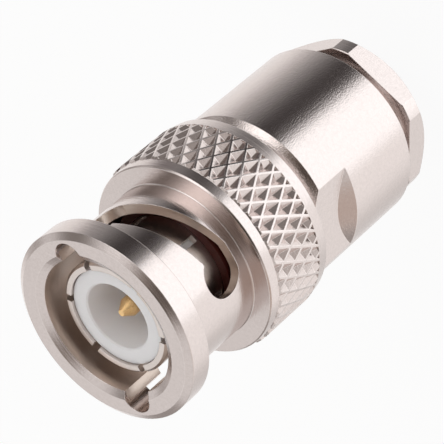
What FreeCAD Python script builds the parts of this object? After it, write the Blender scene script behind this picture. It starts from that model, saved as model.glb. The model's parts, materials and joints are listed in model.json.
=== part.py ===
"""Straight clamp-type bayonet coaxial plug, standing on its clamp nut.

Origin at the centre of the clamp nut's rear face, +Z up towards the mating end, millimetres.
The outer shell is a main body that holds a slotted outer contact and, trapped between the two,
a knurled coupling nut pushed back by a wave washer. The cable end holds the braid clamp, the
grooved gasket, the slip washer and the clamp nut.
"""
import FreeCAD, Part
import math
import os
from types import SimpleNamespace
import Sketcher

UP = FreeCAD.Vector(0, 0, 1)
CENTRE = FreeCAD.Vector(0, 0, 0)

doc = FreeCAD.newDocument("coaxial_plug")
sheet = doc.addObject("Spreadsheet::Sheet", "Dims")


# Driving dimensions, in millimetres and degrees. Each is a cell of the sheet.
SIZES = {
    # Clamp nut and the thread that it turns in
    "hex_flats": 11.2,  # across flats
    "hex_land_diameter": 12.3,  # over the turned corners
    "hex_height": 2.0,  # height of the hexagon
    "hex_chamfer": 0.75,  # rear corner chamfer
    "hex_edge": 0.06,  # front edge, broken
    "hex_angle": 8.5,  # direction of the first corner
    "hex_gap": 1.2,  # gap between the hexagon and the main body
    "thread_diameter": 9.9,  # thread over the crests
    "thread_ridge": 0.12,  # crests of the thread over the plain shank that stands in for it
    "thread_clearance": 0.07,  # radial play of the clamp nut thread
    "thread_engagement": 2.66,  # clamp nut thread inside the main body
    "cable_bore": 5.4,  # bore for the cable jacket, through every piece of the cable grip
    "cable_lead": 0.4,  # lead-in chamfer of the cable bore
    # Main body
    "body_diameter": 13.06,  # main body
    "body_length": 10.4,  # main body
    "body_nose_diameter": 10.8,  # small end of the front chamfer
    "body_nose_length": 1.17,  # length of the front chamfer
    "wrench_flats": 11.5,  # across the wrench flats
    "wrench_length": 2.98,  # length of a wrench flat
    "wrench_runout": 1.12,  # conical run-out behind a flat
    "wrench_angle": -138.3,  # direction of the first wrench flat
    "web_thickness": 1.0,  # web between the two bores
    "web_bore": 6.0,  # hole through the web
    "braid_seat_depth": 1.0,  # cone that the braid is clamped on
    "seat_clearance": 0.01,  # radial play of a pressed or seated piece
    # Coupling nut
    "nut_gap": 0.1,  # running gap between coupling nut and main body
    "nut_length": 14.2,  # coupling nut
    "ring_diameter": 13.8,  # front ring
    "ring_length": 1.95,  # front ring
    "ring_chamfer_depth": 0.3,  # front ring, outer chamfer along the axis
    "ring_chamfer_width": 0.46,  # front ring, outer chamfer across
    "lead_in_depth": 0.3,  # front ring, bore lead-in along the axis
    "lead_in_width": 0.5,  # front ring, bore lead-in across
    "neck_diameter": 11.3,  # neck with the bayonet slots
    "neck_length": 6.2,  # neck
    "neck_corner": 0.06,  # slope in the corner between neck and grip
    "grip_diameter": 14.4,  # over the knurl
    "grip_front_length": 0.8,  # tapered land in front of the knurl
    "grip_front_diameter": 14.0,  # tapered land, front edge
    "grip_land_diameter": 14.14,  # tapered land, rear edge
    "grip_step_length": 0.08,  # step from the land up to the knurl's crests
    "grip_rear_length": 1.03,  # plain band behind the knurl
    "grip_rear_diameter": 14.1,  # grip, rear edge
    "edge_break": 0.1,  # chamfer on every turned outer corner
    "nut_bore": 9.86,  # bore that takes the jack
    "nut_bore_depth": 10.3,  # depth of that bore
    "cavity_diameter": 12.0,  # chamber of the washers
    "lip_thickness": 1.0,  # rear lip
    "lip_play": 0.08,  # radial play of the rear lip on the outer contact
    # Bayonet track, as heights below the front face and directions round the axis
    "track_width": 2.34,  # bayonet slot
    "channel_diameter": 12.45,  # lug channels, over their round bottoms
    "channel_width": 2.2,  # lug channel
    "track_entry_depth": 4.42,  # centre of the track at the entry, below the front face
    "track_crest_depth": 6.2,  # centre of the track at the crest of the cam, below the front face
    "track_entry_angle": -25.5,  # direction of the entry
    "track_ramp_angle": 73.5,  # turn from the entry up to the crest
    "track_dwell_angle": 14.6,  # turn along the crest to the detent
    "detent_diameter": 2.95,  # round end of the track, flush with its rear edge
    # Diamond knurl of pyramid pits with thin ridges between
    "knurl_columns": 40,  # diamonds round the grip
    "knurl_angle": 30.0,  # angle of the ridges to the axis
    "knurl_depth": 0.36,  # depth of a pit
    "knurl_ridge": 0.12,  # width of a ridge
    "knurl_overrun": 0.02,  # how far the knurl runs into the tapered land
    "knurl_row_shift": 0.335,  # height of the middle row above mid grip
    # Outer contact
    "finger_diameter": 8.14,  # over the finger beads
    "finger_relief": 0.12,  # fingers, relief behind the bead
    "finger_bead": 1.3,  # fingers, length of the bead
    "finger_wall": 0.55,  # wall at the bead
    "finger_setback": 1.2,  # finger tips behind the front face
    "finger_tip_chamfer": 0.18,  # finger tips, outer chamfer
    "finger_slot_length": 5.85,  # fingers, length of a slot
    "finger_slot_width": 0.5,  # fingers, width of a slot
    "finger_count": 6,  # fingers
    "finger_angle": -21.0,  # direction of the first finger slot
    "shoulder_diameter": 9.2,  # shoulder that carries the interface gasket
    "flange_diameter": 11.4,  # flange
    "flange_thickness": 0.8,  # flange
    "spigot_diameter": 9.24,  # spigot
    "spigot_seat": 1.5,  # spigot inside the main body
    # Washers and gaskets
    "spring_room": 1.4,  # room between the lip and the flange
    "thrust_thickness": 0.25,  # thrust washer
    "thrust_play": 0.1,  # radial play of a thrust washer on the spigot
    "thrust_width": 0.92,  # thrust washer, width of the ring
    "wave_thickness": 0.2,  # wave washer, sheet
    "wave_width": 0.7,  # wave washer, width of the ring
    "wave_play": 0.2,  # radial play of the wave washer on the spigot
    "wave_count": 3,  # wave washer, waves
    "wave_end_gap": 0.02,  # gap between wave washer and a thrust washer
    "face_gasket_depth": 7.25,  # interface gasket, front below the front face
    "face_gasket_height": 1.4,  # interface gasket
    "face_gasket_diameter": 9.3,  # interface gasket, outside
    "face_gasket_play": 0.03,  # radial play of the interface gasket on the fingers
    # Insulators and centre contact
    "insulator_clearance": 0.04,  # radial play of an insulator
    "insulator_setback": 1.41,  # front insulator behind the front face
    "insulator_bore": 4.8,  # front insulator, bore round the pin
    "insulator_bore_depth": 5.86,  # front insulator, depth of that bore
    "insulator_lead": 0.1,  # front insulator, edge of the bore
    "insulator_length": 11.06,  # front insulator
    "insulator_joint": 0.1,  # gap between the two insulators
    "pin_diameter": 1.33,  # centre contact, pin
    "pin_tip_diameter": 0.45,  # centre contact, end of the tip
    "pin_tip_length": 0.75,  # centre contact, cone of the tip
    "pin_setback": 1.85,  # pin tip behind the front face
    "pin_length": 7.63,  # centre contact, pin
    "barrel_diameter": 2.16,  # centre contact, barrel
    "barrel_length": 7.4,  # centre contact, barrel
    "barrel_play": 0.04,  # radial play of the contact in the insulators
    "collar_diameter": 2.9,  # centre contact, holding collar
    "collar_length": 0.8,  # centre contact, holding collar
    "collar_play": 0.06,  # play of the collar in its recess
    "cup_bore": 1.0,  # solder cup, bore for the inner wire
    "cup_depth": 3.2,  # solder cup, depth
    "cup_hole": 0.7,  # solder cup, inspection hole
    # Cable grip
    "braid_gap": 0.2,  # room left for the braid on the cone
    "braid_flange_diameter": 9.7,  # braid clamp, flange
    "braid_flange_height": 0.8,  # braid clamp, flange
    "braid_edge_diameter": 7.4,  # braid clamp, circle of the biting edge
    "braid_edge_height": 0.6,  # braid clamp, height of the biting edge
    "gasket_gap": 0.1,  # gap between braid clamp and cable gasket
    "gasket_diameter": 9.7,  # cable gasket, outside
    "groove_side_gap": 0.12,  # room beside the biting edge in the groove
    "slip_washer_thickness": 0.5,  # slip washer
    "slip_washer_diameter": 9.7,  # slip washer, outside
    "slip_washer_gap": 0.02,  # gap between slip washer and clamp nut
}


class Size:
    """A length or angle that carries both its number and the expression it is bound with."""

    def __init__(self, value, text):
        self.value = value
        self.text = text

    def _joined(self, other, sign, value):
        other_text = other.text if isinstance(other, Size) else repr(other)
        return Size(value, "(" + self.text + " " + sign + " " + other_text + ")")

    def __add__(self, other):
        return self._joined(other, "+", self.value + number(other))

    def __sub__(self, other):
        return self._joined(other, "-", self.value - number(other))

    def __mul__(self, other):
        return self._joined(other, "*", self.value * number(other))

    def __truediv__(self, other):
        return self._joined(other, "/", self.value / number(other))


def number(item):
    return item.value if isinstance(item, Size) else item


def fill_sheet():
    """Write each size to a row of the sheet under its name, and return them all."""
    for row, (name, value) in enumerate(SIZES.items(), start=1):
        sheet.set("A" + str(row), name)
        sheet.set("B" + str(row), str(value))
        sheet.setAlias("B" + str(row), name)
    doc.recompute()
    return SimpleNamespace(**{name: Size(value, "Dims." + name) for name, value in SIZES.items()})


ZERO = Size(0.0, "0")
dims = fill_sheet()

# Heights that several pieces share, from the rear face up
body_rear = dims.hex_height + dims.hex_gap
body_front = body_rear + dims.body_length
nut_rear = body_front + dims.nut_gap
nut_front = nut_rear + dims.nut_length
ring_rear = nut_front - dims.ring_length
neck_rear = ring_rear - dims.neck_length
grip_front = neck_rear - dims.grip_front_length
grip_rear = nut_rear + dims.grip_rear_length
cavity_front = nut_front - dims.nut_bore_depth
lip_front = nut_rear + dims.lip_thickness
flange_rear = lip_front + dims.spring_room
flange_front = flange_rear + dims.flange_thickness
gasket_front = nut_front - dims.face_gasket_depth
gasket_rear = gasket_front - dims.face_gasket_height
spigot_rear = body_front - dims.spigot_seat
web_rear = spigot_rear - dims.web_thickness
seat_rear = web_rear - dims.braid_seat_depth
shank_front = body_rear + dims.thread_engagement
slip_washer_rear = shank_front + dims.slip_washer_gap
slip_washer_front = slip_washer_rear + dims.slip_washer_thickness

# Radii that several pieces share
body_bore_radius = dims.thread_diameter / 2 + dims.thread_clearance
spigot_radius = dims.spigot_diameter / 2
contact_bore_radius = dims.finger_diameter / 2 - dims.finger_wall
insulator_radius = contact_bore_radius - dims.insulator_clearance
finger_stem_radius = dims.finger_diameter / 2 - dims.finger_relief


def origin_plane(body, role):
    for feature in body.Origin.OriginFeatures:
        if feature.Role == role:
            return feature
    raise RuntimeError("no plane " + role)


def new_sketch(body, name, role):
    sketch = body.newObject("Sketcher::SketchObject", name)
    sketch.AttachmentSupport = [(origin_plane(body, role), "")]
    sketch.MapMode = "FlatFace"
    return sketch


def draw_outline(sketch, corners):
    """Closed outline whose corners are each tied to the sheet, across and up."""
    places = [FreeCAD.Vector(number(across), number(up), 0) for across, up in corners]
    count = len(places)
    for index, place in enumerate(places):
        sketch.addGeometry(Part.LineSegment(place, places[(index + 1) % count]), False)
    for index in range(count):
        sketch.addConstraint(Sketcher.Constraint("Coincident", index, 2, (index + 1) % count, 1))
    for index, corner in enumerate(corners):
        for kind, axis, item in (("DistanceX", -2, corner[0]), ("DistanceY", -1, corner[1])):
            if item is ZERO:
                sketch.addConstraint(Sketcher.Constraint("PointOnObject", index, 1, axis))
                continue
            made = sketch.addConstraint(
                Sketcher.Constraint(kind, -1, 1, index, 1, number(item)))
            name = kind + "_of_corner_" + str(index)
            sketch.renameConstraint(made, name)
            sketch.setExpression("Constraints." + name, item.text)


def revolve(body, name, corners, kind="PartDesign::Revolution"):
    """Turn an outline of (radius, height) corners about the Z axis, as metal or as a cut."""
    sketch = new_sketch(body, name + "_outline", "XZ_Plane")
    draw_outline(sketch, corners)
    feature = body.newObject(kind, name)
    feature.Profile = sketch
    feature.ReferenceAxis = (sketch, ["V_Axis"])
    feature.Angle = 360
    body.Tip = feature
    return feature


def turned(label, corners):
    body = doc.addObject("PartDesign::Body", label)
    body.Label = label
    revolve(body, label + "_turning", corners)
    return body


def ring(label, bore_radius, outer_radius, low, high):
    """Plain turned ring or washer."""
    return turned(label, [(bore_radius, low), (outer_radius, low), (outer_radius, high), (bore_radius, high)])


def cut_rectangle(body, name, inner, outer, width, low, depth, turn):
    """Pocket a radial slot: from inner to outer radius, up from the height low by depth."""
    sketch = new_sketch(body, name + "_outline", "XY_Plane")
    sketch.setExpression("AttachmentOffset.Base.z", low.text)
    sketch.setExpression("AttachmentOffset.Rotation.Angle", turn.text)
    half = width / 2
    opposite = ZERO - half
    draw_outline(sketch, [(inner, opposite), (outer, opposite), (outer, half), (inner, half)])
    feature = body.newObject("PartDesign::Pocket", name)
    feature.Profile = sketch
    feature.setExpression("Length", depth.text)
    feature.Reversed = True
    body.Tip = feature
    return feature


def repeat_round_axis(body, feature, count):
    pattern = body.newObject("PartDesign::PolarPattern", feature.Name + "_pattern")
    pattern.Originals = [feature]
    pattern.Axis = (feature.Profile[0], ["N_Axis"])
    pattern.Angle = 360
    if isinstance(count, Size):
        pattern.setExpression("Occurrences", count.text)
    else:
        pattern.Occurrences = count
    body.Tip = pattern
    return pattern


def make_clamp_nut():
    """Hexagon with turned corners, threaded shank and cable bore."""
    bore = dims.cable_bore / 2
    land = dims.hex_land_diameter / 2
    shank = dims.thread_diameter / 2 - dims.thread_ridge
    lead = bore + dims.cable_lead
    body = turned("clamp_nut", [
        (lead, ZERO),
        (land - dims.hex_chamfer, ZERO),
        (land, dims.hex_chamfer),
        (land, dims.hex_height - dims.hex_edge),
        (land - dims.hex_edge, dims.hex_height),
        (shank, dims.hex_height),
        (shank, shank_front - dims.cable_lead),
        (shank - dims.cable_lead, shank_front),
        (bore, shank_front),
        (bore, dims.cable_lead),
    ])
    flat = cut_rectangle(body, "hexagon_flat", dims.hex_flats / 2, land + 1.0, dims.hex_land_diameter,
                         ZERO, dims.hex_height, dims.hex_angle + 30)
    repeat_round_axis(body, flat, 6)
    return body


def make_main_body():
    """Rear shell: chamfered nose, two wrench flats, front seat, web and threaded rear bore."""
    outer = dims.body_diameter / 2
    seat = spigot_radius + dims.seat_clearance
    runout_front = body_front - dims.wrench_length
    runout_rear = runout_front - dims.wrench_runout
    flat_radius = dims.wrench_flats / 2
    body = turned("main_body", [
        (body_bore_radius + dims.edge_break, body_rear),
        (outer - dims.edge_break, body_rear),
        (outer, body_rear + dims.edge_break),
        (outer, body_front - dims.body_nose_length),
        (dims.body_nose_diameter / 2, body_front),
        (seat, body_front),
        (seat, spigot_rear),
        (dims.web_bore / 2, spigot_rear),
        (dims.web_bore / 2, web_rear),
        (body_bore_radius, seat_rear),
        (body_bore_radius, body_rear + dims.edge_break),
    ])
    flat = cut_rectangle(body, "wrench_flat", flat_radius, outer + 1.0, dims.body_diameter,
                         runout_rear, dims.wrench_length + dims.wrench_runout, dims.wrench_angle)
    repeat_round_axis(body, flat, 2)
    revolve(body, "flat_runout", [
        (flat_radius - 0.3, runout_rear),
        (outer, runout_rear),
        (flat_radius, runout_front),
        (flat_radius - 0.3, runout_front),
    ])
    return body


def make_outer_contact():
    """Slotted front sleeve, gasket shoulder, flange that traps the nut, and spigot pressed into the body."""
    bead = dims.finger_diameter / 2
    tip = nut_front - dims.finger_setback
    body = turned("outer_contact", [
        (contact_bore_radius, spigot_rear),
        (spigot_radius, spigot_rear),
        (spigot_radius, flange_rear),
        (dims.flange_diameter / 2, flange_rear),
        (dims.flange_diameter / 2, flange_front),
        (dims.shoulder_diameter / 2, flange_front),
        (dims.shoulder_diameter / 2, gasket_rear),
        (finger_stem_radius, gasket_rear),
        (finger_stem_radius, tip - dims.finger_bead),
        (bead, tip - dims.finger_bead + dims.finger_relief),
        (bead, tip - dims.finger_tip_chamfer),
        (bead - dims.finger_tip_chamfer, tip),
        (contact_bore_radius, tip),
    ])
    slot = cut_rectangle(body, "finger_slot", contact_bore_radius - 0.5, bead + 0.5, dims.finger_slot_width,
                         tip - dims.finger_slot_length, dims.finger_slot_length, dims.finger_angle)
    repeat_round_axis(body, slot, dims.finger_count)
    return body


def make_front_insulator():
    """Insulating sleeve: deep bore round the pin, close hole, and half of the collar recess."""
    front = nut_front - dims.insulator_setback
    rear = front - dims.insulator_length
    floor = front - dims.insulator_bore_depth
    bore = dims.insulator_bore / 2
    pin_hole = dims.pin_diameter / 2 + dims.barrel_play
    barrel_hole = dims.barrel_diameter / 2 + dims.barrel_play
    shoulder = nut_front - dims.pin_setback - dims.pin_length + dims.barrel_play
    recess_top = rear + dims.collar_length / 2 + dims.collar_play
    return turned("front_insulator", [
        (dims.collar_diameter / 2 + dims.collar_play, rear),
        (insulator_radius, rear),
        (insulator_radius, front),
        (bore + dims.insulator_lead, front),
        (bore, front - dims.insulator_lead),
        (bore, floor),
        (pin_hole, floor),
        (pin_hole, shoulder),
        (barrel_hole, shoulder),
        (barrel_hole, recess_top),
        (dims.collar_diameter / 2 + dims.collar_play, recess_top),
    ])


def make_rear_insulator():
    """Insulating bead between the front insulator and the web, with the other half recess."""
    top = nut_front - dims.insulator_setback - dims.insulator_length - dims.insulator_joint
    recess = dims.collar_diameter / 2 + dims.collar_play
    barrel_hole = dims.barrel_diameter / 2 + dims.barrel_play
    recess_floor = top - dims.collar_length / 2
    return turned("rear_insulator", [
        (barrel_hole, spigot_rear),
        (insulator_radius, spigot_rear),
        (insulator_radius, top),
        (recess, top),
        (recess, recess_floor),
        (barrel_hole, recess_floor),
    ])


def make_centre_contact():
    """Pin with a blunt tip, barrel with a holding collar, and a drilled solder cup."""
    tip = nut_front - dims.pin_setback
    shoulder = tip - dims.pin_length
    end = shoulder - dims.barrel_length
    collar_bottom = (nut_front - dims.insulator_setback - dims.insulator_length - dims.insulator_joint
                     - dims.collar_length / 2 + dims.collar_play / 2)
    collar_top = collar_bottom + dims.collar_length
    barrel = dims.barrel_diameter / 2
    body = turned("centre_contact", [
        (dims.cup_bore / 2, end),
        (barrel, end),
        (barrel, collar_bottom),
        (dims.collar_diameter / 2, collar_bottom),
        (dims.collar_diameter / 2, collar_top),
        (barrel, collar_top),
        (barrel, shoulder),
        (dims.pin_diameter / 2, shoulder),
        (dims.pin_diameter / 2, tip - dims.pin_tip_length),
        (dims.pin_tip_diameter / 2, tip),
        (ZERO, tip),
        (ZERO, end + dims.cup_depth),
        (dims.cup_bore / 2, end + dims.cup_depth),
    ])
    cut_rectangle(body, "inspection_hole", ZERO, barrel + 0.5, dims.cup_hole,
                  end + dims.cup_depth - dims.cup_hole, dims.cup_hole, ZERO)
    return body


def make_braid_clamp():
    """Tapered sleeve that traps the braid, with an edge that bites into the gasket."""
    bore = dims.cable_bore / 2
    flange = dims.braid_flange_diameter / 2
    edge = dims.braid_edge_diameter / 2
    nose_top = web_rear - dims.braid_gap
    flange_top = seat_rear - dims.braid_gap
    flange_bottom = flange_top - dims.braid_flange_height
    return turned("braid_clamp", [
        (bore, flange_bottom),
        (edge - dims.braid_edge_height / 2, flange_bottom),
        (edge, flange_bottom - dims.braid_edge_height),
        (edge + dims.braid_edge_height / 2, flange_bottom),
        (flange, flange_bottom),
        (flange, flange_top),
        (dims.web_bore / 2, nose_top),
        (bore, nose_top),
    ])


def make_cable_gasket():
    """Rubber ring with a V groove that takes the braid clamp's edge."""
    edge = dims.braid_edge_diameter / 2
    top = seat_rear - dims.braid_gap - dims.braid_flange_height - dims.gasket_gap
    groove_half = dims.braid_edge_height / 2 + dims.groove_side_gap
    return turned("cable_gasket", [
        (dims.cable_bore / 2, slip_washer_front),
        (dims.gasket_diameter / 2, slip_washer_front),
        (dims.gasket_diameter / 2, top),
        (edge + groove_half, top),
        (edge, top - dims.braid_edge_height),
        (edge - groove_half, top),
        (dims.cable_bore / 2, top),
    ])


def wave_ring(radius, height):
    """Closed wavy curve at a radius, starting from a crest."""
    waves = int(round(dims.wave_count.value))
    points_per_wave = 8
    count = waves * points_per_wave
    ends = dims.thrust_thickness.value + dims.wave_end_gap.value
    swing = (dims.spring_room.value - dims.wave_thickness.value) / 2 - ends
    points = []
    for index in range(count):
        turn = 2 * math.pi * index / count
        points.append(FreeCAD.Vector(radius * math.cos(turn), radius * math.sin(turn),
                                     height + swing * math.cos(waves * turn)))
    curve = Part.BSplineCurve()
    curve.interpolate(points, PeriodicFlag=True)
    return curve.toShape()


def make_wave_washer():
    """Wavy spring ring whose crests reach from one thrust washer to the other."""
    inner = spigot_radius.value + dims.wave_play.value
    middle = (lip_front.value + flange_rear.value - dims.wave_thickness.value) / 2
    face = Part.makeRuledSurface(wave_ring(inner, middle), wave_ring(inner + dims.wave_width.value, middle))
    feature = doc.addObject("Part::Feature", "wave_washer")
    feature.Label = "wave_washer"
    feature.Shape = face.extrude(UP * dims.wave_thickness.value)
    return feature


def make_nut_turning():
    """Coupling nut before the bayonet slots, the lug channels and the knurl are cut."""
    edge = dims.edge_break
    ring_radius = dims.ring_diameter / 2
    bore = dims.nut_bore / 2
    cavity = dims.cavity_diameter / 2
    lip = spigot_radius + dims.lip_play
    return turned("coupling_nut_turning", [
        (lip, nut_rear),
        (dims.grip_rear_diameter / 2 - edge, nut_rear),
        (dims.grip_rear_diameter / 2, nut_rear + edge),
        (dims.grip_diameter / 2, grip_rear),
        (dims.grip_diameter / 2, grip_front - dims.grip_step_length),
        (dims.grip_land_diameter / 2, grip_front),
        (dims.grip_front_diameter / 2, neck_rear - edge),
        (dims.grip_front_diameter / 2 - edge, neck_rear),
        (dims.neck_diameter / 2 + dims.neck_corner, neck_rear),
        (dims.neck_diameter / 2, neck_rear + dims.neck_corner),
        (dims.neck_diameter / 2, ring_rear),
        (ring_radius - edge, ring_rear),
        (ring_radius, ring_rear + edge),
        (ring_radius, nut_front - dims.ring_chamfer_depth),
        (ring_radius - dims.ring_chamfer_width, nut_front),
        (bore + dims.lead_in_width, nut_front),
        (bore, nut_front - dims.lead_in_depth),
        (bore, cavity_front),
        (cavity, cavity_front),
        (cavity, lip_front),
        (lip, lip_front),
    ])


def radial_drill(angle, height, radius):
    """Cylinder that cuts the neck's wall from the bore outwards, on a radius of the axis."""
    start = dims.nut_bore.value / 2 - 1.0
    length = dims.neck_diameter.value / 2 + 0.5 - start
    drill = Part.makeCylinder(radius, length, FreeCAD.Vector(start, 0, height), FreeCAD.Vector(1, 0, 0))
    drill.rotate(CENTRE, UP, angle)
    return drill


def wall_section(half_height):
    """Upright rectangle, centred on the X axis, that reaches right through the neck's wall."""
    inner = dims.nut_bore.value / 2 - 1.0
    outer = dims.neck_diameter.value / 2 + 0.5
    corners = [(inner, -half_height), (outer, -half_height), (outer, half_height), (inner, half_height)]
    points = [FreeCAD.Vector(across, 0, up) for across, up in corners]
    return Part.makePolygon(points + [points[0]])


def bayonet_slot(entry_angle):
    """One track: helical ramp from the lug channel, level crest and round detent."""
    half_width = dims.track_width.value / 2
    middle_radius = dims.neck_diameter.value / 2
    front = nut_front.value
    entry = front - dims.track_entry_depth.value
    crest = front - dims.track_crest_depth.value
    detent_radius = dims.detent_diameter.value / 2
    detent = crest - half_width + detent_radius
    crest_angle = entry_angle - dims.track_ramp_angle.value
    detent_angle = crest_angle - dims.track_dwell_angle.value
    rise = entry - crest
    steepness = math.atan2(rise, math.radians(dims.track_ramp_angle.value) * middle_radius)
    helix = Part.makeHelix(rise * 360.0 / dims.track_ramp_angle.value, rise, middle_radius)
    ramp = Part.Wire(helix.Edges).makePipeShell([wall_section(half_width / math.cos(steepness))], True, True)
    ramp.translate(FreeCAD.Vector(0, 0, crest))
    ramp.rotate(CENTRE, UP, crest_angle)
    dwell = Part.Face(wall_section(half_width)).revolve(CENTRE, UP, dims.track_dwell_angle.value)
    dwell.translate(FreeCAD.Vector(0, 0, crest))
    dwell.rotate(CENTRE, UP, detent_angle)
    drills = [radial_drill(entry_angle, entry, half_width),
              radial_drill(crest_angle, crest, half_width),
              radial_drill(detent_angle, detent, detent_radius)]
    return ramp.fuse([dwell] + drills)


def lug_channel(angle):
    """Round-bottomed channel down the bore, from the front face to the entry of a track."""
    radius = dims.channel_width.value / 2
    depth = dims.track_entry_depth.value
    across = dims.channel_diameter.value / 2 - radius
    channel = Part.makeCylinder(radius, depth, FreeCAD.Vector(across, 0, nut_front.value - depth))
    channel.rotate(CENTRE, UP, angle)
    return channel


def knurl_pit(angle, height, half_across, half_along):
    """Four-sided pyramid, apex towards the axis, that cuts one diamond pit."""
    surface = dims.grip_diameter.value / 2
    apex = FreeCAD.Vector(surface - dims.knurl_depth.value, 0, height)
    overshoot = 1.5
    base = surface + dims.knurl_depth.value * (overshoot - 1)
    across = half_across * overshoot
    along = half_along * overshoot
    rim = [FreeCAD.Vector(base, across, height), FreeCAD.Vector(base, 0, height + along),
           FreeCAD.Vector(base, -across, height), FreeCAD.Vector(base, 0, height - along)]
    faces = [Part.Face(Part.makePolygon(rim + [rim[0]]))]
    for index in range(4):
        following = rim[(index + 1) % 4]
        faces.append(Part.Face(Part.makePolygon([apex, rim[index], following, apex])))
    pit = Part.Solid(Part.Shell(faces))
    pit.rotate(CENTRE, UP, angle)
    return pit


def knurl_pits():
    """All pits, cut off square at both ends of the knurl."""
    columns = int(round(dims.knurl_columns.value))
    half_pitch = math.pi * dims.grip_diameter.value / 2 / columns
    half_row = half_pitch / math.tan(math.radians(dims.knurl_angle.value))
    side = half_pitch * half_row / math.hypot(half_pitch, half_row)
    shrink = (side - dims.knurl_ridge.value / 2) / side
    low = grip_rear.value
    high = grip_front.value + dims.knurl_overrun.value
    middle = (low + grip_front.value) / 2 + dims.knurl_row_shift.value
    first = math.floor((low - middle) / half_row)
    last = math.ceil((high - middle) / half_row)
    band = Part.makeCylinder(dims.grip_diameter.value, high - low, FreeCAD.Vector(0, 0, low))
    pits = []
    for row in range(first, last + 1):
        height = middle + row * half_row
        if height + half_row * shrink <= low or height - half_row * shrink >= high:
            continue
        whole = height - half_row * shrink > low and height + half_row * shrink < high
        for column in range(columns):
            angle = (column + 0.5 * (row % 2)) * 360.0 / columns
            pit = knurl_pit(angle, height, half_pitch * shrink, half_row * shrink)
            pits.append(pit if whole else pit.common(band))
    return pits


def make_coupling_nut():
    """Knurled bayonet sleeve: the turning less its tracks, channels and knurl."""
    turning = make_nut_turning()
    tracks = doc.addObject("Part::Feature", "bayonet_tracks")
    cuts = []
    for angle in (dims.track_entry_angle.value, dims.track_entry_angle.value + 180.0):
        cuts.append(bayonet_slot(angle).fuse(lug_channel(angle)))
    tracks.Shape = Part.makeCompound(cuts)
    slotted = doc.addObject("Part::Cut", "slotted_nut")
    slotted.Base = turning
    slotted.Tool = tracks
    knurl = doc.addObject("Part::Feature", "knurl_pits")
    knurl.Shape = Part.makeCompound(knurl_pits())
    nut = doc.addObject("Part::Cut", "coupling_nut")
    nut.Label = "coupling_nut"
    nut.Base = slotted
    nut.Tool = knurl
    return nut


def make_thrust_washers():
    inner = spigot_radius + dims.thrust_play
    outer = inner + dims.thrust_width
    rear = ring("rear_thrust_washer", inner, outer, lip_front, lip_front + dims.thrust_thickness)
    front = ring("front_thrust_washer", inner, outer, flange_rear - dims.thrust_thickness, flange_rear)
    return [rear, front]


def make_face_gasket():
    return ring("interface_gasket", finger_stem_radius + dims.face_gasket_play, dims.face_gasket_diameter / 2,
                gasket_rear, gasket_front)


def make_slip_washer():
    return ring("slip_washer", dims.cable_bore / 2, dims.slip_washer_diameter / 2,
                slip_washer_rear, slip_washer_front)


def check_document():
    for item in doc.Objects:
        if "Invalid" in item.State or "Error" in item.State:
            raise RuntimeError(item.Name + " failed: " + ", ".join(item.State))


def single_solid(piece):
    """The piece's one solid, checked."""
    shape = piece.Shape
    if shape.isNull() or not shape.isValid():
        raise RuntimeError(piece.Label + " has no valid shape")
    if len(shape.Solids) != 1:
        raise RuntimeError(piece.Label + " has " + str(len(shape.Solids)) + " solids")
    return shape.Solids[0]


pieces = [
    make_coupling_nut(),
    make_main_body(),
    make_outer_contact(),
    make_front_insulator(),
    make_rear_insulator(),
    make_centre_contact(),
    make_face_gasket(),
    make_wave_washer(),
    make_braid_clamp(),
    make_cable_gasket(),
    make_slip_washer(),
    make_clamp_nut(),
] + make_thrust_washers()

doc.recompute()
check_document()
os.makedirs("parts", exist_ok=True)
for piece in pieces:
    single_solid(piece).exportStep("parts/" + piece.Label + ".step")
    box = piece.Shape.BoundBox
    heights = (round(box.ZMin, 3), round(box.ZMax, 3))
    print(piece.Label, "volume", round(piece.Shape.Volume, 2), "height", *heights)
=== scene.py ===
"""Bayonet coaxial plug: finishes, thread, spring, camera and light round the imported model."""
import json
import math

import bmesh
import bpy
from mathutils import Matrix, Vector


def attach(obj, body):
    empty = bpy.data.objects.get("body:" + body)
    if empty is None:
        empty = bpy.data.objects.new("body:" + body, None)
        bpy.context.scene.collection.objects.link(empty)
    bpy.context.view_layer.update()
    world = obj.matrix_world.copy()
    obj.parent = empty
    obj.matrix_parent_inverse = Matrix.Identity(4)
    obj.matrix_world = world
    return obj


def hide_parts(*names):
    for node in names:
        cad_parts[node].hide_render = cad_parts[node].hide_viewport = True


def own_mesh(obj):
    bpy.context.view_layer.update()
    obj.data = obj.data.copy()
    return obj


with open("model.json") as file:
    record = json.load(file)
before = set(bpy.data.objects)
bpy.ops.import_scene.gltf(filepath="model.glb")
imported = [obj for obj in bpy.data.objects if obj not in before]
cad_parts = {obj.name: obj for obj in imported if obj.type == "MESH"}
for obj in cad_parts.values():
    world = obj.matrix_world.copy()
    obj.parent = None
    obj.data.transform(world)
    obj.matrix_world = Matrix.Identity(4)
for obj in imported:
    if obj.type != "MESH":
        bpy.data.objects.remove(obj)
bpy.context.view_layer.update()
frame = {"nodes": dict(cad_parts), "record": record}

MM = 0.001

# The photograph's camera, worked out from the turned circles in it
CAMERA_PLACE = Vector((0.24, -131.72, 117.51)) * MM
CAMERA_RIGHT = Vector((-0.65042, -0.46569, -0.60007))
CAMERA_UP = Vector((0.75958, -0.39877, -0.51384))
CAMERA_LENS = 207.58
SENSOR_WIDTH = 36.0
# It sees what lies between these distances, in metres
NEAREST = 0.01
FARTHEST = 10.0

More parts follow.
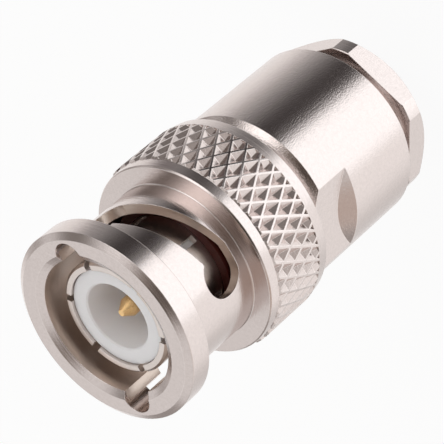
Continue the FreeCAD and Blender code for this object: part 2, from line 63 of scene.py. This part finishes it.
# Cards, boxes and flags round the plug, in the order in which they cover each other: level of light,
# tint, aim (turn round the axis from +X, height over the horizon), angle of a ring round that aim, or
# 0 for a round card, and the two half-widths within which it is full and beyond which it has faded
# out. Angles are in degrees.
STUDIO = {
    "horizon": (0.4, "#FBF4F0", (0, 90), 87, (11, 18)),
    "front_wall": (0.62, "#FBF4F0", (-88, -3), 0, (6, 30)),
    "back_wall": (0.7, "#F6E6DC", (-172, 20), 0, (18, 34)),
    "side_light": (1.05, "#FFFDFC", (66, -38), 0, (30, 54)),
    "back_light": (0.8, "#FFFDFC", (140, -38), 0, (10, 34)),
    "back_fill": (1.15, "#FFFDFC", (-133, -10), 0, (10, 27)),
    "black_flag": (0.03, "#FFE9EC", (-39, -38), 0, (0, 64)),
    "low_flag": (0.12, "#FFE9EC", (6, -16), 0, (8, 26)),
    "far_table": (1.25, "#FFFFFF", (-100, -84), 0, (17, 31)),
    "back_table": (1.2, "#FFFDFC", (172, -17), 0, (10, 25)),
    "table_glow": (1.2, "#FFFFFF", (-140, -38), 0, (20, 62)),
    "table_light": (1.68, "#FAFDFF", (-102, -38), 0, (28, 31)),
    "window_box": (1.9, "#FFFFFF", (-39, 45), 0, (8, 30)),
    "gap_in_boxes": (0.2, "#FFF4EC", (25, 40), 0, (6, 24)),
    "gap_below_boxes": (0.14, "#FFF0EA", (0, 25), 0, (6, 16)),
    "dark_room": (0.24, "#F4DCCB", (-105, 58), 0, (24, 37)),
    "dark_ceiling": (0.06, "#F4DCCB", (-112, 60), 0, (14, 24)),
}
# Level of light where no card reaches
ROOM_LEVEL = 0.9
# White of the floor's paper and of what the camera sees behind it
PAPER_WHITE = "#FCFCFC"
# Half the floor's side, in metres
FLOOR_HALF = 3.0
# Room under the clamp nut when it is screwed out all the way downwards
FLOOR_ROOM = 0.05 * MM
# Share of the floor's white that is its own, and not the studio's light on it
FLOOR_GLOW = 0.92

# Each plate's own colour, that of its duller patches and that of the painted highlight on its edges
NICKEL = ("#D9CECA", "#D3C8C4", "#EFE7E3")
CONTACT = ("#E4DAD4", "#DCD2CC", "#F2EAE4")
GOLD = ("#F4CD94", "#EEC68B", "#FADCAC")
BRONZE = ("#B88E5E", "#A47A4C", "#D0A878")
# Size of a duller patch, how much smoother than usual the plate is between patches and how much rougher
# in them, and the part of the noise's range over which one goes over into the other
PATCH = 0.2 * MM
PATCH_SMOOTHER = 0.01
PATCH_ROUGHER = 0.02
PATCH_EDGES = (0.35, 0.65)
# How far a mark of the tool wanders off its circle, as a share of the way across the plug
MARK_DRIFT = 0.02
# Cosines of the angle between rounded and flat normal at which an edge's painted highlight begins and
# is full, and the largest share of the highlight colour that shows there
EDGE_HIGHLIGHT_COSINES = (0.995, 0.93)
EDGE_HIGHLIGHT_SHARE = 0.8
BEVEL_SAMPLES = 6

# The coupling nut's inside: all that is nearer to the axis than its neck's outside, up to the lead-in
BORE_WITHIN = 5.62 * MM
BORE_BELOW = 27.6 * MM
BORE_COLOUR = "#DCCDC2"
BORE_ROUGHNESS = 0.38
# The coupling nut's knurl: from the bottoms of its pits out to its ridges, and from end to end. What
# lies further in than this much under the pits is the chamber of the washers.
PIT_BOTTOM = 6.84 * MM
PIT_RIDGE = 7.16 * MM
PIT_UNDER = 0.1 * MM
KNURL_LOW = 14.72 * MM
KNURL_HIGH = 18.96 * MM
# Colour at the pits' bottoms: painted shade, with some of the thinner plating there
PIT_SHADE_COLOUR = "#D4C9C5"

# The clamp nut's thread: a ridge over the plain shank, its foot a little inside the shank
THREAD_PITCH = 0.75 * MM
THREAD_CREST = 4.94 * MM
THREAD_FOOT = 4.82 * MM
THREAD_LOW = 2.1 * MM
THREAD_HIGH = 5.45 * MM
THREAD_STEPS = 72
# Half the ridge's width at its foot and at its crest, as shares of the pitch
FOOT_HALF = 0.3
CREST_HALF = 0.075


def srgb(code):
    """Linear colour of an sRGB hex value."""
    parts = [int(code[start:start + 2], 16) / 255 for start in (1, 3, 5)]
    linear = [p / 12.92 if p <= 0.04045 else ((p + 0.055) / 1.055) ** 2.4 for p in parts]
    return (*linear, 1.0)


def reach(joint):
    """How far a sliding joint goes from rest, in metres."""
    rows = frame["record"]["behaviour"]["joints"]
    return next(row["range_m"][1] for row in rows if row["name"] == joint)


def add_node(tree, kind, settings=None, links=None):
    """One shader node with its properties, its input values and its input links."""
    node = tree.nodes.new(kind)
    for name, value in (settings or {}).items():
        if isinstance(name, int) or name in node.inputs:
            node.inputs[name].default_value = value
        else:
            setattr(node, name, value)
    for name, output in (links or {}).items():
        tree.links.new(output, node.inputs[name])
    return node


def new_material(name):
    """A material and its node tree, emptied."""
    material = bpy.data.materials.new(name)
    material.use_nodes = True
    tree = material.node_tree
    tree.nodes.clear()
    return material, tree


def finish_tree(tree, shader):
    """Lead a shader's light to the material's surface."""
    output = add_node(tree, "ShaderNodeOutputMaterial")
    tree.links.new(shader.outputs[0], output.inputs["Surface"])


def add_piece(name, mesh, material):
    """A finished bmesh as an object of the scene."""
    data = bpy.data.meshes.new(name)
    mesh.to_mesh(data)
    mesh.free()
    data.materials.append(material)
    piece = bpy.data.objects.new(name, data)
    bpy.context.scene.collection.objects.link(piece)
    return piece


def dull_bore(tree, tone, satin, radius, height):
    """Colour and roughness of the coupling nut: duller and browner inside, where the plate is thin."""
    narrow = add_node(tree, "ShaderNodeMath", {"operation": "LESS_THAN", 1: BORE_WITHIN}, {0: radius})
    behind = add_node(tree, "ShaderNodeMath", {"operation": "LESS_THAN", 1: BORE_BELOW}, {0: height})
    inside = add_node(tree, "ShaderNodeMath", {"operation": "MULTIPLY"}, {
        0: narrow.outputs[0], 1: behind.outputs[0]})
    browner = add_node(tree, "ShaderNodeMix", {"data_type": "RGBA", "B": srgb(BORE_COLOUR)}, {
        "Factor": inside.outputs[0], "A": tone})
    duller = add_node(tree, "ShaderNodeMapRange", {"To Max": BORE_ROUGHNESS}, {
        "Value": inside.outputs[0], "To Min": satin})
    return browner.outputs["Result"], duller.outputs["Result"]


def paint_pit_shade(tree, tone, radius, height):
    """Colour of the coupling nut: painted shade, darker towards the bottoms of its knurl's pits, partly also
    for their thinner plating.
    """
    depth = add_node(tree, "ShaderNodeMapRange", {"From Min": PIT_RIDGE, "From Max": PIT_BOTTOM}, {
        "Value": radius})
    outside = add_node(tree, "ShaderNodeMath", {"operation": "GREATER_THAN", 1: PIT_BOTTOM - PIT_UNDER}, {
        0: radius})
    middle = (KNURL_HIGH + KNURL_LOW) / 2
    half = (KNURL_HIGH - KNURL_LOW) / 2
    along = add_node(tree, "ShaderNodeMath", {"operation": "COMPARE", 1: middle, 2: half}, {0: height})
    knurled = add_node(tree, "ShaderNodeMath", {"operation": "MULTIPLY"}, {
        0: outside.outputs[0], 1: along.outputs[0]})
    share = add_node(tree, "ShaderNodeMath", {"operation": "MULTIPLY"}, {
        0: knurled.outputs[0], 1: depth.outputs["Result"]})
    darker = add_node(tree, "ShaderNodeMix", {"data_type": "RGBA", "B": srgb(PIT_SHADE_COLOUR)}, {
        "Factor": share.outputs[0], "A": tone})
    return darker.outputs["Result"]


def plated_metal(name, colours, roughness, across_marks, mark, mark_depth, grain, grain_depth, edge,
                 coupling_nut=False):
    """A turned and plated metal: marks round the axis, grain of the plate, and painted highlights on its
    edges.

    colours are a plate's three colours. across_marks is how far the marks draw the shine out across
    them. mark and grain are widths in metres, each with its depth, and edge is the radius to which the
    edges are rounded in shading and within which they get a painted highlight. The coupling nut is also
    dull in its bore, and gets painted shade in its knurl's pits.
    """
    material, tree = new_material(name)
    plate, dulled, bright = colours
    place = add_node(tree, "ShaderNodeTexCoord").outputs["Object"]
    height = add_node(tree, "ShaderNodeSeparateXYZ", links={"Vector": place}).outputs["Z"]
    flat = add_node(tree, "ShaderNodeVectorMath", {"operation": "MULTIPLY", 1: (1.0, 1.0, 0.0)}, {0: place})
    radius = add_node(tree, "ShaderNodeVectorMath", {"operation": "LENGTH"}, {
        0: flat.outputs["Vector"]}).outputs["Value"]

    # Marks of the tool, round the axis, and grain of the plate, the same every way
    rings = add_node(tree, "ShaderNodeCombineXYZ", links={"X": radius, "Y": height})
    drift = add_node(tree, "ShaderNodeVectorMath", {
        "operation": "MULTIPLY_ADD", 1: (MARK_DRIFT, MARK_DRIFT, 0.0)}, {
        0: flat.outputs["Vector"], 2: rings.outputs["Vector"]})
    marks = add_node(tree, "ShaderNodeTexNoise", {"Scale": 1.0 / mark, "Detail": 3.0, "Roughness": 0.65}, {
        "Vector": drift.outputs["Vector"]})
    speckle = add_node(tree, "ShaderNodeTexNoise", {"Scale": 1.0 / grain, "Detail": 2.0}, {"Vector": place})
    rounded = add_node(tree, "ShaderNodeBevel", {"samples": BEVEL_SAMPLES, "Radius": edge})
    lines = add_node(tree, "ShaderNodeBump", {"Distance": mark_depth}, {
        "Height": marks.outputs["Fac"], "Normal": rounded.outputs["Normal"]})
    bumps = add_node(tree, "ShaderNodeBump", {"Distance": grain_depth}, {
        "Height": speckle.outputs["Fac"], "Normal": lines.outputs["Normal"]})
    around = add_node(tree, "ShaderNodeVectorMath", {"operation": "CROSS_PRODUCT", 0: (0.0, 0.0, 1.0)}, {
        1: place})

    # Plate that is a little duller in places
    clouds = add_node(tree, "ShaderNodeTexNoise", {"Scale": 1.0 / PATCH, "Detail": 5.0, "Roughness": 0.7}, {
        "Vector": place})
    patches = add_node(tree, "ShaderNodeMapRange", {"From Min": PATCH_EDGES[0], "From Max": PATCH_EDGES[1]}, {
        "Value": clouds.outputs["Fac"]})
    satin = add_node(tree, "ShaderNodeMapRange", {
        "To Min": roughness - PATCH_SMOOTHER, "To Max": roughness + PATCH_ROUGHER}, {
        "Value": patches.outputs["Result"]}).outputs["Result"]
    patched = add_node(tree, "ShaderNodeMix", {"data_type": "RGBA", "A": srgb(plate), "B": srgb(dulled)}, {
        "Factor": patches.outputs["Result"]})

    # Painted highlight on the edges: there the rounded normal leaves the flat one
    surface = add_node(tree, "ShaderNodeNewGeometry")
    flush = add_node(tree, "ShaderNodeVectorMath", {"operation": "DOT_PRODUCT"}, {
        0: rounded.outputs["Normal"], 1: surface.outputs["Normal"]})
    edge_highlight = add_node(tree, "ShaderNodeMapRange", {
        "From Min": EDGE_HIGHLIGHT_COSINES[0], "From Max": EDGE_HIGHLIGHT_COSINES[1], "To Max": EDGE_HIGHLIGHT_SHARE}, {
        "Value": flush.outputs["Value"]})
    tone = add_node(tree, "ShaderNodeMix", {"data_type": "RGBA", "B": srgb(bright)}, {
        "Factor": edge_highlight.outputs["Result"], "A": patched.outputs["Result"]}).outputs["Result"]

    if coupling_nut:
        tone, satin = dull_bore(tree, tone, satin, radius, height)
        # Painted shade in the knurl's pits
        tone = paint_pit_shade(tree, tone, radius, height)
    shader = add_node(tree, "ShaderNodeBsdfPrincipled", {"Metallic": 1.0, "Anisotropic": across_marks}, {
        "Base Color": tone, "Roughness": satin, "Normal": bumps.outputs["Normal"],
        "Tangent": around.outputs["Vector"]})
    finish_tree(tree, shader)
    return material


def turned_ptfe():
    """PTFE turned from rod: milky white, waxy, and light soaks a little way into it."""
    material, tree = new_material("ptfe_turned")
    place = add_node(tree, "ShaderNodeTexCoord").outputs["Object"]
    # Tool marks about 0.1 mm apart, drawn at 0.25 mm so that they show
    marks = add_node(tree, "ShaderNodeTexNoise", {"Scale": 1.0 / (0.25 * MM), "Detail": 2.0}, {
        "Vector": place})
    bumps = add_node(tree, "ShaderNodeBump", {"Distance": 0.002 * MM}, {"Height": marks.outputs["Fac"]})
    shader = add_node(tree, "ShaderNodeBsdfPrincipled", {
        "Base Color": srgb("#FCFCFF"), "Roughness": 0.42, "IOR": 1.35, "Subsurface Weight": 0.5,
        "Subsurface Radius": (1.0, 0.95, 1.0), "Subsurface Scale": 0.6 * MM}, {
        "Normal": bumps.outputs["Normal"]})
    finish_tree(tree, shader)
    return material


def moulded_silicone():
    """Silicone rubber moulded in dark red: soft sheen and a faintly uneven skin."""
    material, tree = new_material("silicone_moulded")
    place = add_node(tree, "ShaderNodeTexCoord").outputs["Object"]
    # The mould's spark-worn grain of about 0.05 mm, drawn at 0.3 mm so that it shows
    skin = add_node(tree, "ShaderNodeTexNoise", {"Scale": 1.0 / (0.3 * MM), "Detail": 3.0}, {
        "Vector": place})
    tone = add_node(tree, "ShaderNodeMix", {
        "data_type": "RGBA", "A": srgb("#3C120D"), "B": srgb("#4E1A13")}, {"Factor": skin.outputs["Fac"]})
    bumps = add_node(tree, "ShaderNodeBump", {"Distance": 0.004 * MM}, {"Height": skin.outputs["Fac"]})
    shader = add_node(tree, "ShaderNodeBsdfPrincipled", {"Roughness": 0.5, "IOR": 1.41}, {
        "Base Color": tone.outputs["Result"], "Normal": bumps.outputs["Normal"]})
    finish_tree(tree, shader)
    return material


def white_paper():
    """Matt white paper, mostly shown at its own white, so that only a soft shadow is left on it."""
    material, tree = new_material("matt_white_paper")
    seen = add_node(tree, "ShaderNodeLightPath")
    looked_at = add_node(tree, "ShaderNodeMath", {"operation": "MAXIMUM"}, {
        0: seen.outputs["Is Camera Ray"], 1: seen.outputs["Is Glossy Ray"]})
    looked_through = add_node(tree, "ShaderNodeMath", {"operation": "MAXIMUM"}, {
        0: looked_at.outputs[0], 1: seen.outputs["Is Transmission Ray"]})
    share = add_node(tree, "ShaderNodeMath", {"operation": "MULTIPLY", 1: FLOOR_GLOW}, {
        0: looked_through.outputs[0]})
    paper = add_node(tree, "ShaderNodeBsdfDiffuse", {"Color": srgb(PAPER_WHITE)})
    glow = add_node(tree, "ShaderNodeEmission", {"Color": srgb("#FFFFFF"), "Strength": 1.0})
    mixed = add_node(tree, "ShaderNodeMixShader", links={
        "Fac": share.outputs[0], 1: paper.outputs[0], 2: glow.outputs[0]})
    # It is one-sided, so that the plug's cable end shows from below
    side = add_node(tree, "ShaderNodeNewGeometry")
    clear = add_node(tree, "ShaderNodeBsdfTransparent")
    one_sided = add_node(tree, "ShaderNodeMixShader", links={
        "Fac": side.outputs["Backfacing"], 1: mixed.outputs[0], 2: clear.outputs[0]})
    finish_tree(tree, one_sided)
    return material


def paint(material, *nodes):
    """Give CAD nodes a finish."""
    for node in nodes:
        mesh = frame["nodes"][node].data
        mesh.materials.clear()
        mesh.materials.append(material)


def build_thread(material):
    """Crest of the clamp nut's thread: a narrow ridge swept up a helix round the plain shank."""
    turns = (THREAD_HIGH - THREAD_LOW) / THREAD_PITCH
    foot = FOOT_HALF * THREAD_PITCH
    crest = CREST_HALF * THREAD_PITCH
    corners = [(THREAD_FOOT, -foot), (THREAD_CREST, -crest), (THREAD_CREST, crest), (THREAD_FOOT, foot)]
    mesh = bmesh.new()
    profile = mesh.faces.new([mesh.verts.new((across, 0.0, THREAD_LOW + up)) for across, up in corners])
    bmesh.ops.spin(
        mesh, geom=[profile], axis=(0, 0, 1), cent=(0, 0, 0), dvec=(0, 0, THREAD_PITCH / THREAD_STEPS),
        angle=math.tau * turns, steps=int(round(THREAD_STEPS * turns)), use_merge=False)
    bmesh.ops.recalc_face_normals(mesh, faces=mesh.faces)
    thread = add_piece("clamp_thread", mesh, material)
    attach(thread, "clamp")


def build_wave_spring(material):
    """The wave washer again, as one welded piece in its place, carried with the shell."""
    mesh = bmesh.new()
    mesh.from_mesh(frame["nodes"]["wave_washer"].data)
    bmesh.ops.remove_doubles(mesh, verts=mesh.verts, dist=0.001 * MM)
    spring = add_piece("wave_spring", mesh, material)
    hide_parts("wave_washer")
    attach(spring, "shell")
    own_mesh(spring)


def build_floor():
    """Floor under the plug, low enough for the clamp nut to screw out: it gives no light back."""
    drop = Matrix.Translation((0, 0, -(reach("clamp_travel") + FLOOR_ROOM)))
    mesh = bmesh.new()
    bmesh.ops.create_grid(mesh, x_segments=1, y_segments=1, size=FLOOR_HALF, matrix=drop)
    floor = add_piece("floor", mesh, white_paper())
    # The studio's cards also stand under the plug, so its reflections and its light pass the floor
    floor.visible_glossy = False
    floor.visible_diffuse = False
    floor.visible_transmission = False


def build_camera():
    """The photograph's camera."""
    data = bpy.data.cameras.new("camera")
    data.lens = CAMERA_LENS
    data.sensor_width = SENSOR_WIDTH
    data.clip_start = NEAREST
    data.clip_end = FARTHEST
    camera = bpy.data.objects.new("camera", data)
    bpy.context.scene.collection.objects.link(camera)
    back = CAMERA_RIGHT.cross(CAMERA_UP).normalized()
    turn = Matrix((CAMERA_RIGHT, CAMERA_UP, back)).transposed().to_4x4()
    camera.matrix_world = Matrix.Translation(CAMERA_PLACE) @ turn
    bpy.context.scene.camera = camera


def add_card(tree, way, light, card):
    """The light by direction, with one more card of STUDIO over it."""
    level, tint, (turn, height), ring, (full, faded) = card
    swing = Matrix.Rotation(math.radians(turn), 3, "Z")
    lift = Matrix.Rotation(math.radians(-height), 3, "Y")
    aim = add_node(tree, "ShaderNodeVectorMath", {
        "operation": "DOT_PRODUCT", 1: swing @ lift @ Vector((1, 0, 0))}, {0: way})
    angle = add_node(tree, "ShaderNodeMath", {"operation": "ARCCOSINE"}, {0: aim.outputs["Value"]})
    off_ring = add_node(tree, "ShaderNodeMath", {"operation": "SUBTRACT", 1: math.radians(ring)}, {
        0: angle.outputs[0]})
    away = add_node(tree, "ShaderNodeMath", {"operation": "ABSOLUTE"}, {0: off_ring.outputs[0]})
    mask = add_node(tree, "ShaderNodeMapRange", {
        "interpolation_type": "SMOOTHSTEP", "From Min": math.radians(faded),
        "From Max": math.radians(full)}, {"Value": away.outputs[0]})
    red, green, blue, _ = srgb(tint)
    blend = add_node(tree, "ShaderNodeMix", {
        "data_type": "RGBA", "B": (red * level, green * level, blue * level, 1.0)}, {
        "Factor": mask.outputs["Result"], "A": light})
    return blend.outputs["Result"]


def build_world():
    """White studio whose light comes from STUDIO's cards, by direction; the camera sees plain white."""
    world = bpy.data.worlds.new("studio")
    bpy.context.scene.world = world
    world.use_nodes = True
    tree = world.node_tree
    tree.nodes.clear()
    way = add_node(tree, "ShaderNodeTexCoord").outputs["Generated"]
    light = add_node(tree, "ShaderNodeRGB").outputs[0]
    light.default_value = (ROOM_LEVEL, ROOM_LEVEL, ROOM_LEVEL, 1.0)
    for card in STUDIO.values():
        light = add_card(tree, way, light, card)
    studio = add_node(tree, "ShaderNodeBackground", {"Strength": 1.0}, {"Color": light})
    white = add_node(tree, "ShaderNodeBackground", {"Color": srgb(PAPER_WHITE), "Strength": 1.0})
    seen = add_node(tree, "ShaderNodeLightPath")
    choice = add_node(tree, "ShaderNodeMixShader", links={
        "Fac": seen.outputs["Is Camera Ray"], 1: studio.outputs[0], 2: white.outputs[0]})
    output = add_node(tree, "ShaderNodeOutputWorld")
    tree.links.new(choice.outputs[0], output.inputs["Surface"])


# Brass, turned and nickel plated: satin warm grey with fine marks round the axis. The tool's feed of
# about 0.08 mm is drawn at 0.2 mm so that it shows.
TURNED = {
    "colours": NICKEL, "roughness": 0.2, "across_marks": 0.5, "mark": 0.2 * MM, "mark_depth": 0.008 * MM,
    "grain": 0.1 * MM, "grain_depth": 0.003 * MM, "edge": 0.06 * MM}
turned_nickel = plated_metal("nickel_plate_turned", **TURNED)
# The same on the coupling nut, whose bore and bayonet tracks are duller and browner, and whose knurl
# pits get painted shade towards their bottoms
knurled_nickel = plated_metal("nickel_plate_knurled", **TURNED, coupling_nut=True)
# Brass, turned, tumbled and nickel plated: the body is duller and grainy, with hardly any marks. The
# grain is about 0.05 mm, drawn at 0.1 mm.
tumbled_nickel = plated_metal(
    "nickel_plate_tumbled", NICKEL, roughness=0.2, across_marks=0.2, mark=0.3 * MM, mark_depth=0.002 * MM,
    grain=0.1 * MM, grain_depth=0.013 * MM, edge=0.06 * MM)
# Bronze sleeve, turned, sprung and bright nickel plated: cleaner and paler than the shell. Its marks,
# about 0.05 mm apart, are drawn at 0.15 mm.
contact_plate = plated_metal(
    "contact_bronze_plated", CONTACT, roughness=0.3, across_marks=0.3, mark=0.15 * MM,
    mark_depth=0.003 * MM, grain=0.1 * MM, grain_depth=0.002 * MM, edge=0.05 * MM)
# Brass pin, turned and gold plated: warm yellow, satin. Its marks, about 0.05 mm apart, are drawn at
# 0.1 mm.
gold_plate = plated_metal(
    "gold_plate_turned", GOLD, roughness=0.26, across_marks=0.3, mark=0.1 * MM, mark_depth=0.001 * MM,
    grain=0.1 * MM, grain_depth=0.0006 * MM, edge=0.02 * MM)
# Spring bronze, rolled sheet, left bare: brown yellow with a fine grain, drawn at 0.15 mm
rolled_bronze = plated_metal(
    "spring_bronze_rolled", BRONZE, roughness=0.3, across_marks=0.2, mark=0.15 * MM, mark_depth=0.001 * MM,
    grain=0.1 * MM, grain_depth=0.001 * MM, edge=0.02 * MM)

paint(tumbled_nickel, "main_body")
paint(knurled_nickel, "coupling_nut")
paint(turned_nickel, "clamp_nut", "braid_clamp", "slip_washer")
paint(contact_plate, "outer_contact")
paint(gold_plate, "centre_contact")
paint(turned_ptfe(), "front_insulator", "rear_insulator")
paint(moulded_silicone(), "interface_gasket", "cable_gasket")
paint(rolled_bronze, "front_thrust_washer", "wave_washer", "rear_thrust_washer")
build_thread(turned_nickel)
build_wave_spring(rolled_bronze)

build_floor()
build_camera()
build_world()
bpy.context.scene.view_settings.view_transform = "Standard"
